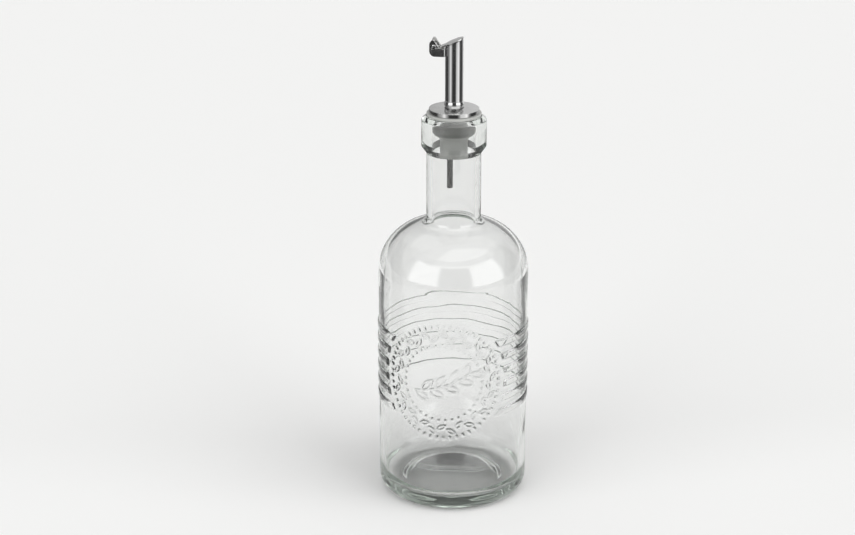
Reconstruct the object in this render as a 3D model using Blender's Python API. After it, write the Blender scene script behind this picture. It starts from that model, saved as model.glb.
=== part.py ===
"""Oil and vinegar bottle: a clear glass bottle with a ribbed body, a round plain panel on
its front, and a steel pourer whose hinged flap closes the spout.

Metres, +Z up. The origin is the centre of the foot. The round panel faces -Y, and the
flap's hinge stands out from the spout towards -X, with its pin along Y.
"""
import math

import bmesh
import bpy

MM = 0.001
GAP = 0.3 * MM

# Glass bottle
BODY_RADIUS = 38.0 * MM
WALL = 2.6 * MM
HEEL_RADIUS = 7.3 * MM
FOOT_INNER_RADIUS = 26.0 * MM
PUNT_RADIUS = 24.0 * MM
PUNT_EDGE_HEIGHT = 1.2 * MM
PUNT_HEIGHT = 8.0 * MM
FLOOR_HEIGHT = 6.5 * MM
FLOOR_CORNER_RADIUS = 7.0 * MM
FLOOR_DOME_RADIUS = 24.5 * MM
FLOOR_DOME_HEIGHT = 8.0 * MM
SHOULDER_START = 118.3 * MM
SHOULDER_RADIUS = 26.0 * MM
NECK_RADIUS = 13.6 * MM
NECK_FILLET = 3.0 * MM
NECK_TOP = 181.0 * MM
COLLAR_RADIUS = 16.15 * MM
COLLAR_BOTTOM = 184.5 * MM
COLLAR_TOP = 198.0 * MM
LIP_HEIGHT = 199.9 * MM
LIP_OUTER_RADIUS = 13.9 * MM
LIP_INNER_ROUND = 0.8 * MM

# Raised ribs round the sides and the back
RIB_COUNT = 6
RIB_PITCH = 7.5 * MM
RIB_HEIGHT = 0.55 * MM
RIB_HALF_WIDTH = 2.4 * MM
RIB_CREST_HALF_WIDTH = 0.9 * MM
PANEL_CENTRE_HEIGHT = 71.8 * MM
PANEL_RADIUS = 33.3 * MM
RIB_END_LENGTH = 2.0 * MM

# Pourer
CAP_RADIUS = 12.45 * MM
CAP_BOTTOM = 201.5 * MM
CAP_TOP = 203.8 * MM
CAP_SHEET = 0.7 * MM
CAP_EDGE_ROUND = 0.4 * MM
SPOUT_RADIUS = 4.45 * MM
SPOUT_WALL = 0.5 * MM
SPOUT_BOTTOM = 196.3 * MM
SPOUT_BEAD_RADIUS = 5.0 * MM
SPOUT_BEAD_HEIGHT = 2.6 * MM
SPOUT_BEAD_CREST = 0.8 * MM
MOUTH_HEIGHT = 236.7 * MM
MOUTH_SLOPE_DEG = 23.0
STOPPER_BOTTOM = 181.2 * MM
STOPPER_CORE_RADIUS = 6.9 * MM
STOPPER_HEAD_RADIUS = 11.4 * MM
STOPPER_FLANGE_RADIUS = 13.7 * MM
STOPPER_PLUG = (
    (7.3 * MM, 188.8 * MM),
    (7.7 * MM, 189.5 * MM),
    (9.6 * MM, 191.1 * MM),
    (10.4 * MM, 192.2 * MM),
    (10.7 * MM, 193.4 * MM),
)
PLUG_STEP = 0.2 * MM
CHANNEL_RADIUS = 3.75 * MM
BREATHER_RADIUS = 1.5 * MM
BREATHER_WALL = 0.4 * MM
BREATHER_BOTTOM = 162.5 * MM
BREATHER_TOP = 194.0 * MM

# Flap and its hinge
PIN_X = -9.66 * MM
PIN_Z = 234.9 * MM
PIN_RADIUS = 0.75 * MM
PIN_HEAD_RADIUS = 1.1 * MM
PIN_HEAD_THICKNESS = 0.5 * MM
EAR_INNER_Y = 3.0 * MM
EAR_THICKNESS = 0.7 * MM
EAR_BOTTOM = 230.0 * MM
EAR_OUTLINE = (
    (-3.9 * MM, EAR_BOTTOM, 0.0),
    (-11.9 * MM, EAR_BOTTOM, 3.2 * MM),
    (-11.9 * MM, 236.6 * MM, 3.4 * MM),
    (-10.2 * MM, 239.0 * MM, 0.8 * MM),
    (-6.9 * MM, 234.2 * MM, 0.4 * MM),
    (-3.9 * MM, 234.2 * MM, 0.0),
)
EAR_HOLE_RADIUS = 1.1 * MM
SADDLE_THICKNESS = 0.6 * MM
SADDLE_HALF_ANGLE_DEG = 42.0
SADDLE_TOP = 233.9 * MM
FLAP_THICKNESS = 0.5 * MM
FLAP_OVERHANG = 0.4 * MM
TONGUE_HALF_WIDTH = 2.6 * MM
TONGUE_TAIL = 1.6 * MM
EYE_RADIUS = 1.9 * MM
EYE_HOLE_RADIUS = 1.15 * MM
EYE_THICKNESS = 0.6 * MM

# Sides of the round pieces
BOTTLE_SIDES = 60
CAP_SIDES = 48
STOPPER_SIDES = 36
SPOUT_SIDES = 32
SMALL_SIDES = 16


def clear_scene():
    for old in list(bpy.data.objects):
        bpy.data.objects.remove(old, do_unlink=True)


def surface(name, colour, roughness, metallic=0.0, transmission=0.0):
    """A plain Principled material."""
    made = bpy.data.materials.new(name)
    made.use_nodes = True
    shader = made.node_tree.nodes["Principled BSDF"]
    shader.inputs["Base Color"].default_value = (*colour, 1.0)
    shader.inputs["Roughness"].default_value = roughness
    shader.inputs["Metallic"].default_value = metallic
    shader.inputs["Transmission Weight"].default_value = transmission
    return made


def add_object(name, bm, material, smooth_angle_deg=30.0):
    """Turns a closed bmesh into a named object with its faces pointing out."""
    bmesh.ops.recalc_face_normals(bm, faces=bm.faces)
    mesh = bpy.data.meshes.new(name)
    bm.to_mesh(mesh)
    bm.free()
    mesh.shade_smooth()
    mesh.set_sharp_from_angle(angle=math.radians(smooth_angle_deg))
    mesh.materials.append(material)
    made = bpy.data.objects.new(name, mesh)
    bpy.context.scene.collection.objects.link(made)
    return made


def arc(centre, radius, start_deg, end_deg, steps):
    """Points along an arc, both ends included."""
    points = []
    for step in range(steps + 1):
        angle = math.radians(start_deg + (end_deg - start_deg) * step / steps)
        points.append((centre[0] + radius * math.cos(angle), centre[1] + radius * math.sin(angle)))
    return points


def turned(outline, sides, axis_x=0.0, closed=True):
    """Turns an outline of (radius, height) about a vertical axis. A closed outline goes round
    a ring's section. An open one starts and ends on the axis."""
    bm = bmesh.new()
    rings = []
    for radius, height in outline:
        if radius == 0.0:
            rings.append([bm.verts.new((axis_x, 0.0, height))])
            continue
        ring = []
        for side in range(sides):
            angle = 2.0 * math.pi * side / sides
            ring.append(bm.verts.new((axis_x + radius * math.cos(angle), radius * math.sin(angle), height)))
        rings.append(ring)
    pairs = list(zip(rings, rings[1:]))
    if closed:
        pairs.append((rings[-1], rings[0]))
    for lower, upper in pairs:
        for side in range(sides):
            following = (side + 1) % sides
            corners = [lower[side % len(lower)], lower[following % len(lower)],
                       upper[following % len(upper)], upper[side % len(upper)]]
            bm.faces.new(list(dict.fromkeys(corners)))
    return bm


def extruded(outline, place, depth):
    """Extrudes a flat outline. place(u, v, w) gives the point of the outline's (u, v) at
    depth w, and the body runs from w = depth[0] to w = depth[1]."""
    bm = bmesh.new()
    near = [bm.verts.new(place(u, v, depth[0])) for u, v in outline]
    far = [bm.verts.new(place(u, v, depth[1])) for u, v in outline]
    bm.faces.new(near)
    bm.faces.new(reversed(far))
    for index in range(len(outline)):
        following = (index + 1) % len(outline)
        bm.faces.new((near[index], far[index], far[following], near[following]))
    return bm


def rounded(corners, steps=4):
    """An outline whose corners (x, z, radius) are rounded, listed in order round it."""
    points = []
    for index, (x, z, radius) in enumerate(corners):
        if radius == 0.0:
            points.append((x, z))
            continue
        before = corners[index - 1]
        after = corners[(index + 1) % len(corners)]
        to_before = math.atan2(before[1] - z, before[0] - x)
        to_after = math.atan2(after[1] - z, after[0] - x)
        turn = (to_after - to_before + math.pi) % (2.0 * math.pi) - math.pi
        half = turn / 2.0
        reach = radius / abs(math.sin(half))
        middle = to_before + half
        centre = (x + reach * math.cos(middle), z + reach * math.sin(middle))
        swing = math.copysign(math.pi - abs(turn), turn)
        first = middle + math.pi + swing / 2.0
        for step in range(steps + 1):
            angle = first - swing * step / steps
            points.append((centre[0] + radius * math.cos(angle), centre[1] + radius * math.sin(angle)))
    return points


def united(name, bodies, cutters, material):
    """One body from several overlapping ones, less the cutters."""
    shapes = [add_object(name + "_shape", bm, material) for bm in bodies]
    whole = shapes[0]
    tools = [("UNION", shape) for shape in shapes[1:]]
    tools += [("DIFFERENCE", add_object(name + "_cut", bm, material)) for bm in cutters]
    for operation, tool in tools:
        step = whole.modifiers.new(operation, "BOOLEAN")
        step.operation = operation
        step.object = tool
        step.solver = "EXACT"
    depsgraph = bpy.context.evaluated_depsgraph_get()
    joined = bpy.data.meshes.new_from_object(whole.evaluated_get(depsgraph))
    bm = bmesh.new()
    bm.from_mesh(joined)
    bmesh.ops.remove_doubles(bm, verts=bm.verts, dist=0.001 * MM)
    for shape in shapes + [tool for operation, tool in tools if operation == "DIFFERENCE"]:
        bpy.data.objects.remove(shape, do_unlink=True)
    return add_object(name, bm, material)


def rib_relief(height):
    """How far the ribs stand out of the body at a height."""
    from_middle = (height - PANEL_CENTRE_HEIGHT) / RIB_PITCH + (RIB_COUNT - 1) / 2.0
    nearest = min(max(round(from_middle), 0), RIB_COUNT - 1)
    distance = abs(from_middle - nearest) * RIB_PITCH
    slope = (RIB_HALF_WIDTH - distance) / (RIB_HALF_WIDTH - RIB_CREST_HALF_WIDTH)
    return RIB_HEIGHT * min(max(slope, 0.0), 1.0)


def panel_mask(x, y, height):
    """0 inside the round plain panel on the front, 1 outside it."""
    across = BODY_RADIUS * math.atan2(x, -y)
    distance = math.hypot(across, height - PANEL_CENTRE_HEIGHT)
    return min(max((distance - PANEL_RADIUS) / RIB_END_LENGTH, 0.0), 1.0)


def make_bottle(material):
    """Blown glass: foot ring and punt, heel, ribbed body, shoulder, neck and collar."""
    fillet_centre_r = NECK_RADIUS + NECK_FILLET
    shoulder_centre = (BODY_RADIUS - SHOULDER_RADIUS, SHOULDER_START)
    across = fillet_centre_r - shoulder_centre[0]
    reach = SHOULDER_RADIUS + NECK_FILLET
    fillet_centre = (fillet_centre_r, SHOULDER_START + math.sqrt(reach ** 2 - across ** 2))
    meeting_deg = math.degrees(math.acos(across / reach))

    outer = [(0.0, PUNT_HEIGHT)]
    for share in (0.35, 0.7, 1.0):
        drop = (PUNT_HEIGHT - PUNT_EDGE_HEIGHT) * share ** 2
        outer.append((PUNT_RADIUS * share, PUNT_HEIGHT - drop))
    outer.append((FOOT_INNER_RADIUS, 0.0))
    outer += arc((BODY_RADIUS - HEEL_RADIUS, HEEL_RADIUS), HEEL_RADIUS, -90.0, 0.0, 5)
    for rib in range(RIB_COUNT):
        centre = PANEL_CENTRE_HEIGHT + (rib - (RIB_COUNT - 1) / 2.0) * RIB_PITCH
        for side in (-RIB_HALF_WIDTH, -RIB_CREST_HALF_WIDTH, RIB_CREST_HALF_WIDTH, RIB_HALF_WIDTH):
            outer.append((BODY_RADIUS, centre + side))
    outer += arc(shoulder_centre, SHOULDER_RADIUS, 0.0, meeting_deg, 7)
    outer += arc(fillet_centre, NECK_FILLET, 180.0 + meeting_deg, 180.0, 3)[1:]
    outer += [(NECK_RADIUS, NECK_TOP), (COLLAR_RADIUS, COLLAR_BOTTOM), (COLLAR_RADIUS, COLLAR_TOP),
              (LIP_OUTER_RADIUS, LIP_HEIGHT)]

    bore = NECK_RADIUS - WALL
    wall_radius = BODY_RADIUS - WALL
    corner = (wall_radius - FLOOR_CORNER_RADIUS, FLOOR_HEIGHT + FLOOR_CORNER_RADIUS)
    inner = [(bore + LIP_INNER_ROUND, LIP_HEIGHT), (bore, LIP_HEIGHT - LIP_INNER_ROUND)]
    inner += arc(fillet_centre, NECK_FILLET + WALL, 180.0, 180.0 + meeting_deg, 3)
    inner += arc(shoulder_centre, SHOULDER_RADIUS - WALL, meeting_deg, 0.0, 6)[1:]
    inner += arc(corner, FLOOR_CORNER_RADIUS, 0.0, -90.0, 4)
    for share in (1.0, 0.75, 0.5, 0.25):
        rise = FLOOR_DOME_HEIGHT * (1.0 - share ** 2)
        inner.append((FLOOR_DOME_RADIUS * share, FLOOR_HEIGHT + rise))
    inner.append((0.0, FLOOR_HEIGHT + FLOOR_DOME_HEIGHT))

    bm = turned(outer + inner, BOTTLE_SIDES, closed=False)
    for vert in bm.verts:
        x, y, z = vert.co
        radius = math.hypot(x, y)
        if abs(radius - BODY_RADIUS) > GAP:
            continue
        grown = radius + rib_relief(z) * panel_mask(x, y, z)
        vert.co = (x * grown / radius, y * grown / radius, z)
    return add_object("bottle", bm, material)


def make_stopper(material):
    """Soft plastic stopper: a sleeve and a bowl-shaped plug in the neck, a flange on the lip
    and a head under the cap."""
    spout_seat = SPOUT_RADIUS + GAP
    head_top = CAP_TOP - CAP_SHEET - GAP
    flange_bottom = LIP_HEIGHT + GAP
    flange_top = CAP_BOTTOM - GAP
    plug_bottom = STOPPER_PLUG[0][1]
    plug_radius = STOPPER_PLUG[-1][0]
    outline = [
        (CHANNEL_RADIUS, STOPPER_BOTTOM),
        (STOPPER_CORE_RADIUS, STOPPER_BOTTOM),
        (STOPPER_CORE_RADIUS, plug_bottom - PLUG_STEP),
    ]
    outline += STOPPER_PLUG
    outline += [
        (plug_radius, flange_bottom),
        (STOPPER_FLANGE_RADIUS, flange_bottom),
        (STOPPER_FLANGE_RADIUS, flange_top),
        (STOPPER_HEAD_RADIUS, flange_top),
        (STOPPER_HEAD_RADIUS, head_top),
        (spout_seat, head_top),
        (spout_seat, SPOUT_BOTTOM - GAP),
        (CHANNEL_RADIUS, SPOUT_BOTTOM - GAP),
    ]
    return add_object("stopper", turned(outline, STOPPER_SIDES), material)


def make_cap(material):
    """Pressed steel cap over the stopper's head, with a hole for the spout."""
    hole = SPOUT_RADIUS + GAP
    skirt_inside = CAP_RADIUS - CAP_SHEET
    outline = [
        (hole, CAP_TOP - CAP_SHEET),
        (skirt_inside, CAP_TOP - CAP_SHEET),
        (skirt_inside, CAP_BOTTOM),
        (CAP_RADIUS, CAP_BOTTOM),
        (CAP_RADIUS, CAP_TOP - CAP_EDGE_ROUND),
        (CAP_RADIUS - CAP_EDGE_ROUND, CAP_TOP),
        (hole, CAP_TOP),
    ]
    return add_object("cap", turned(outline, CAP_SIDES), material)


def mouth_height(x):
    """Height of the slanted mouth's plane."""
    return MOUTH_HEIGHT + x * math.tan(math.radians(MOUTH_SLOPE_DEG))


def make_spout(material):
    """Steel tube cut off at a slant, with a round bead just above the cap."""
    bead_bottom = CAP_TOP + GAP
    bead_middle = bead_bottom + SPOUT_BEAD_HEIGHT / 2.0
    inside = SPOUT_RADIUS - SPOUT_WALL
    outline = [
        (inside, SPOUT_BOTTOM),
        (SPOUT_RADIUS, SPOUT_BOTTOM),
        (SPOUT_RADIUS, bead_bottom),
        (SPOUT_BEAD_RADIUS, bead_middle - SPOUT_BEAD_CREST / 2.0),
        (SPOUT_BEAD_RADIUS, bead_middle + SPOUT_BEAD_CREST / 2.0),
        (SPOUT_RADIUS, bead_bottom + SPOUT_BEAD_HEIGHT),
        (SPOUT_RADIUS, MOUTH_HEIGHT),
        (inside, MOUTH_HEIGHT),
    ]
    bm = turned(outline, SPOUT_SIDES)
    for vert in bm.verts:
        if vert.co.z > MOUTH_HEIGHT - GAP:
            vert.co.z = mouth_height(vert.co.x)
    return add_object("spout", bm, material)


def make_breather(material):
    """Thin steel tube that lets air back into the bottle."""
    inside = BREATHER_RADIUS - BREATHER_WALL
    outline = [
        (inside, BREATHER_BOTTOM),
        (BREATHER_RADIUS, BREATHER_BOTTOM),
        (BREATHER_RADIUS, BREATHER_TOP),
        (inside, BREATHER_TOP),
    ]
    axis_x = BREATHER_RADIUS + GAP - CHANNEL_RADIUS
    return add_object("breather_tube", turned(outline, SMALL_SIDES, axis_x), material)


def pin_cylinder(radius, half_length):
    """A cylinder on the hinge's axis, for the holes round the pin."""
    outline = [(0.0, -half_length), (radius, -half_length), (radius, half_length), (0.0, half_length)]
    bm = turned(outline, SMALL_SIDES, closed=False)
    lay_on_hinge(bm)
    return bm


def lay_on_hinge(bm):
    """Turns a body made about Z so that its axis is the hinge's axis."""
    for vert in bm.verts:
        x, y, z = vert.co
        vert.co = (PIN_X + x, -z, PIN_Z + y)


def make_bracket(material):
    """Steel saddle round the spout's side, with two ears that hold the pin."""
    saddle_inside = SPOUT_RADIUS + GAP
    first = 180.0 - SADDLE_HALF_ANGLE_DEG
    last = 180.0 + SADDLE_HALF_ANGLE_DEG
    saddle = arc((0.0, 0.0), saddle_inside + SADDLE_THICKNESS, first, last, 8)
    saddle += arc((0.0, 0.0), saddle_inside, last, first, 8)
    bodies = [extruded(saddle, lambda u, v, w: (u, v, w), (EAR_BOTTOM, SADDLE_TOP))]
    ear = rounded(EAR_OUTLINE)
    for side in (-1.0, 1.0):
        faces = (side * EAR_INNER_Y, side * (EAR_INNER_Y + EAR_THICKNESS))
        bodies.append(extruded(ear, lambda u, v, w: (u, w, v), faces))
    holes = [pin_cylinder(EAR_HOLE_RADIUS, 2.0 * EAR_INNER_Y)]
    return united("bracket", bodies, holes, material)


def make_pin(material):
    """Rivet through the ears and the flap's eyes, with a head at each end."""
    head_start = EAR_INNER_Y + EAR_THICKNESS + GAP
    head_end = head_start + PIN_HEAD_THICKNESS
    outline = [
        (0.0, -head_end),
        (PIN_HEAD_RADIUS, -head_end),
        (PIN_HEAD_RADIUS, -head_start),
        (PIN_RADIUS, -head_start),
        (PIN_RADIUS, head_start),
        (PIN_HEAD_RADIUS, head_start),
        (PIN_HEAD_RADIUS, head_end),
        (0.0, head_end),
    ]
    bm = turned(outline, SMALL_SIDES, closed=False)
    lay_on_hinge(bm)
    return add_object("hinge_pin", bm, material)


def make_flap(material):
    """Steel lid over the slanted mouth, with a tongue and two eyes that turn on the pin.
    Its origin is the pin's axis."""
    slope = math.radians(MOUTH_SLOPE_DEG)
    along = (math.cos(slope), math.sin(slope))
    normal = (-math.sin(slope), math.cos(slope))
    from_mouth = (PIN_X, PIN_Z - MOUTH_HEIGHT)
    pin_along = from_mouth[0] * along[0] + from_mouth[1] * along[1]
    pin_above = from_mouth[0] * normal[0] + from_mouth[1] * normal[1]

    def on_mouth(u, v, w):
        """u up the slope from the mouth's centre, v along Y, w above the mouth's plane."""
        return (u * along[0] + w * normal[0], v, MOUTH_HEIGHT + u * along[1] + w * normal[1])

    cover_half_width = SPOUT_RADIUS + FLAP_OVERHANG
    cover_half_length = cover_half_width / math.cos(slope)
    start = math.degrees(math.asin(TONGUE_HALF_WIDTH / cover_half_width))
    cover = []
    for u, v in arc((0.0, 0.0), 1.0, -180.0 + start, 180.0 - start, 26):
        cover.append((u * cover_half_length, v * cover_half_width))
    tail = pin_along - TONGUE_TAIL
    cover += [(tail, TONGUE_HALF_WIDTH), (tail, -TONGUE_HALF_WIDTH)]
    bodies = [extruded(cover, on_mouth, (GAP, GAP + FLAP_THICKNESS))]
    eye = arc((pin_along, pin_above), EYE_RADIUS, -20.0, 200.0, 10)
    eye += [(pin_along - EYE_RADIUS, GAP + FLAP_THICKNESS / 2.0)]
    eye += [(pin_along + EYE_RADIUS, GAP + FLAP_THICKNESS / 2.0)]
    for side in (-1.0, 1.0):
        faces = (side * (TONGUE_HALF_WIDTH - EYE_THICKNESS), side * TONGUE_HALF_WIDTH)
        bodies.append(extruded(eye, lambda u, v, w: on_mouth(u, w, v), faces))
    flap = united("flap", bodies, [pin_cylinder(EYE_HOLE_RADIUS, 2.0 * EAR_INNER_Y)], material)
    for vert in flap.data.vertices:
        vert.co.x -= PIN_X
        vert.co.z -= PIN_Z
    flap.location = (PIN_X, 0.0, PIN_Z)
    return flap


clear_scene()
glass = surface("clear glass", (0.86, 0.90, 0.87), 0.02, transmission=1.0)
polished_steel = surface("polished steel", (0.72, 0.72, 0.72), 0.08, metallic=1.0)
satin_steel = surface("satin steel", (0.62, 0.62, 0.62), 0.32, metallic=1.0)
stopper_plastic = surface("translucent grey plastic", (0.62, 0.63, 0.61), 0.45)
make_bottle(glass)
make_stopper(stopper_plastic)
make_cap(satin_steel)
make_spout(polished_steel)
make_breather(polished_steel)
make_bracket(polished_steel)
make_pin(satin_steel)
make_flap(satin_steel)
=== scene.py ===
"""Oil and vinegar bottle: clear glass with a ribbed body and an embossed front panel, and a
polished steel pourer whose hinged flap closes the slanted spout."""
import math

import bmesh
import bpy
import mathutils
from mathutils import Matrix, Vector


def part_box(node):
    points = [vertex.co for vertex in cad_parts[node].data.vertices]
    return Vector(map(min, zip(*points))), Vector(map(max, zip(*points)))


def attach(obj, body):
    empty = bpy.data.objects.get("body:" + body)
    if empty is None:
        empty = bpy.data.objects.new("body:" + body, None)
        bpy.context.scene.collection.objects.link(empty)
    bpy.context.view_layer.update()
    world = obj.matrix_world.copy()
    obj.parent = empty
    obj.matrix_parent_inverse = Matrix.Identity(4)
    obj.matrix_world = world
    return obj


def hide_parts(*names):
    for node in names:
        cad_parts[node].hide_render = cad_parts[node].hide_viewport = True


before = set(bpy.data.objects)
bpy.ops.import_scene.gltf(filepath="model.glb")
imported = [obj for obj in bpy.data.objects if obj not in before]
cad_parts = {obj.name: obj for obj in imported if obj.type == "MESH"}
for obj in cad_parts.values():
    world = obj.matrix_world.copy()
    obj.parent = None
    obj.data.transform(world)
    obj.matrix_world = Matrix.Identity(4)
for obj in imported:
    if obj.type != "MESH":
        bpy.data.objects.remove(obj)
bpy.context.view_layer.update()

# The view. A product photograph taken from a little above with a long lens, from a step to
# the right of the front panel's middle, so the panel shows left of the bottle's middle line.
VIEW_AZIMUTH_DEG = 8.0
CAMERA_DISTANCE = 1.0
CAMERA_HEIGHT = 0.4932
CAMERA_PITCH_DEG = 20.49
CAMERA_YAW_DEG = 0.75
FOCAL_LENGTH_PX = 2106.0
PHOTO_WIDTH_PX = 855.0
SENSOR_WIDTH = 36.0


def new_object(name, data):
    """An object that holds the data, linked into the scene."""
    made = bpy.data.objects.new(name, data)
    bpy.context.scene.collection.objects.link(made)
    return made


view_azimuth = math.radians(VIEW_AZIMUTH_DEG)
camera_data = bpy.data.cameras.new("view")
camera_data.sensor_width = SENSOR_WIDTH
camera_data.lens = FOCAL_LENGTH_PX / PHOTO_WIDTH_PX * SENSOR_WIDTH
camera = new_object("view", camera_data)
camera.location = (
    CAMERA_DISTANCE * math.sin(view_azimuth),
    -CAMERA_DISTANCE * math.cos(view_azimuth),
    CAMERA_HEIGHT,
)
camera.rotation_euler = (
    math.radians(90.0 - CAMERA_PITCH_DEG),
    0.0,
    view_azimuth + math.radians(CAMERA_YAW_DEG),
)
bpy.context.scene.camera = camera
bpy.context.scene.view_settings.view_transform = "Standard"
# Light turns many times inside a thick glass foot before it gets out
bpy.context.scene.cycles.max_bounces = 24
bpy.context.scene.cycles.glossy_bounces = 16
bpy.context.scene.cycles.transmission_bounces = 24

# The studio room. Two tall soft boxes stand in front to the left and right, a broad soft
# light hangs overhead, and the walls between and behind them are dark. The dark walls are
# what draws the ribs and the embossing in clear glass.
SIDE_LIGHTS = (
    # Angle round from the view in degrees, brightness of the room there up to head height
    (-180.0, 0.12), (-78.0, 0.10), (-70.0, 3.1), (-27.0, 3.1), (-20.0, 0.10),
    (26.0, 0.10), (33.0, 3.1), (81.0, 3.1), (88.0, 0.10), (180.0, 0.12),
)
OVERHEAD_LIGHTS = (
    (-180.0, 0.90), (-46.0, 0.90), (-38.0, 2.15), (100.0, 2.15), (110.0, 0.90), (180.0, 0.90),
)
SIDE_LIGHTS_TOP_DEG = 39.0
OVERHEAD_START_DEG = 44.0
BACKDROP = 0.86


def linear(hex_colour):
    """A colour written as sRGB hex, in the linear values that shaders take."""
    channels = []
    for start in (1, 3, 5):
        value = int(hex_colour[start:start + 2], 16) / 255.0
        channels.append(value / 12.92 if value <= 0.04045 else ((value + 0.055) / 1.055) ** 2.4)
    return (*channels, 1.0)


def add(tree, kind, inputs=None, **settings):
    """Adds a node with its settings. Each input takes a value or another node's output."""
    made = tree.nodes.new(kind)
    for name, value in settings.items():
        setattr(made, name, value)
    for socket, value in (inputs or {}).items():
        if isinstance(value, bpy.types.NodeSocket):
            tree.links.new(value, made.inputs[socket])
        else:
            made.inputs[socket].default_value = value
    return made


def maths(tree, operation, first, second=0.0, third=0.0):
    """The output of one Math node."""
    made = add(tree, "ShaderNodeMath", {0: first, 1: second, 2: third}, operation=operation)
    return made.outputs[0]


def blend(tree, share, first, second):
    """The colour at a share of the way from one colour to another."""
    made = add(tree, "ShaderNodeMix", {0: share, 6: first, 7: second}, data_type="RGBA")
    return made.outputs[2]


def brightness_round(tree, direction, lights):
    """Brightness by the angle round the vertical, measured from the view. lights lists
    (angle in degrees, brightness) from -180 to 180."""
    parts = add(tree, "ShaderNodeSeparateXYZ", {0: direction}).outputs
    angle = maths(tree, "ARCTAN2", parts["X"], maths(tree, "MULTIPLY", parts["Y"], -1.0))
    from_view = maths(tree, "SUBTRACT", angle, view_azimuth)
    turned = maths(tree, "WRAP", from_view, math.pi, -math.pi)
    share = maths(tree, "MULTIPLY_ADD", turned, 0.5 / math.pi, 0.5)
    ramp_node = add(tree, "ShaderNodeValToRGB", {0: share})
    ramp = ramp_node.color_ramp
    brightest = max(brightness for _, brightness in lights)
    while len(ramp.elements) < len(lights):
        ramp.elements.new(0.5)
    for element, (at, brightness) in zip(ramp.elements, lights):
        element.position = (at + 180.0) / 360.0
        element.color = (*[brightness / brightest] * 3, 1.0)
    return maths(tree, "MULTIPLY", ramp_node.outputs["Color"], brightest)


world = bpy.data.worlds.new("studio_room")
bpy.context.scene.world = world
world.use_nodes = True
tree = world.node_tree
tree.nodes.clear()
direction = add(tree, "ShaderNodeTexCoord").outputs["Generated"]
rise = add(tree, "ShaderNodeSeparateXYZ", {0: direction}).outputs["Z"]
above = add(tree, "ShaderNodeMapRange", {
    0: rise,
    1: math.sin(math.radians(SIDE_LIGHTS_TOP_DEG)),
    2: math.sin(math.radians(OVERHEAD_START_DEG)),
}, interpolation_type="SMOOTHSTEP").outputs[0]
room = add(tree, "ShaderNodeMix", {
    0: above,
    2: brightness_round(tree, direction, SIDE_LIGHTS),
    3: brightness_round(tree, direction, OVERHEAD_LIGHTS),
}).outputs[0]
seen = add(tree, "ShaderNodeLightPath").outputs["Is Camera Ray"]
shown = add(tree, "ShaderNodeMix", {0: seen, 2: room, 3: BACKDROP}).outputs[0]
background = add(tree, "ShaderNodeBackground", {"Strength": shown})
add(tree, "ShaderNodeOutputWorld", {"Surface": background.outputs[0]})

# The reflector cards. Light and dark cards stand low round the bottle and a grey one stands
# behind it, so that the steel has bands to show. None of them gives light or throws a shadow.
LOW_CARDS = (
    (-180.0, 0.35), (-150.0, 0.20), (-125.0, 0.08), (-101.0, 0.06), (-84.0, 0.06),
    (-74.0, 0.38), (-57.0, 0.62), (-45.0, 1.25), (-34.0, 0.60), (-21.0, 0.06),
    (15.0, 0.05), (22.0, 0.30), (32.0, 0.95), (47.0, 1.05), (60.0, 1.45),
    (72.0, 0.40), (84.0, 0.06), (114.0, 0.06), (130.0, 0.50), (180.0, 0.55),
)
BACK_CARD = (
    (-180.0, 0.66), (-172.0, 0.50), (-165.0, 0.36), (165.0, 0.95), (172.0, 0.85), (180.0, 0.66),
)
CARD_DISTANCE = 0.5
CARD_STEPS = 96
LOW_CARDS_HEIGHT = (0.0, 0.118)
BACK_CARD_HEIGHT = (0.118, 0.62)
BACK_CARD_FROM_DEG = 122.0
# A low black card behind the body to either side is what the edges of its relief show
BLACK_CARD = ((-180.0, 0.02), (180.0, 0.02))
BLACK_CARD_DISTANCE = 0.14
BLACK_CARD_HEIGHT = (0.0, 0.08)
BLACK_CARD_FROM_DEG = 106.0
BLACK_CARD_TO_DEG = 148.0
# A dark ring below the pourer keeps the pale table out of the steel
DARK_RING_HEIGHT = 0.12
DARK_RING_RADII = (0.045, 0.25)
# A dark card in front of the pourer keeps the soft boxes out of the cap and the bead
POURER_CARD = ((-180.0, 0.06), (180.0, 0.06))
POURER_CARD_DISTANCE = 0.11
POURER_CARD_HEIGHT = (0.2115, 0.255)
POURER_CARD_TO_DEG = 100.0


def card(name, lights, edges, from_deg, to_deg, through_glass=False):
    """A bent card round the bottle, between two angles from the view and two edges, each a
    (distance, height). It shows either in reflections or through the glass."""
    bm = bmesh.new()
    rings = []
    for distance, height in edges:
        ring = []
        for step in range(CARD_STEPS + 1):
            angle = math.radians(from_deg + (to_deg - from_deg) * step / CARD_STEPS) + view_azimuth
            x, y = distance * math.sin(angle), -distance * math.cos(angle)
            ring.append(bm.verts.new((x, y, height)))
        rings.append(ring)
    for step in range(CARD_STEPS):
        bm.faces.new((rings[0][step], rings[0][step + 1], rings[1][step + 1], rings[1][step]))
    mesh = bpy.data.meshes.new(name)
    bm.to_mesh(mesh)
    bm.free()
    material = bpy.data.materials.new(name)
    material.use_nodes = True
    material.cycles.emission_sampling = "NONE"
    tree = material.node_tree
    tree.nodes.clear()
    place = add(tree, "ShaderNodeTexCoord").outputs["Object"]
    glow = add(tree, "ShaderNodeEmission", {"Strength": brightness_round(tree, place, lights)})
    add(tree, "ShaderNodeOutputMaterial", {"Surface": glow.outputs[0]})
    mesh.materials.append(material)
    made = new_object(name, mesh)
    made.visible_camera = False
    made.visible_diffuse = False
    made.visible_transmission = through_glass
    made.visible_glossy = not through_glass
    made.visible_shadow = False


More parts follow.
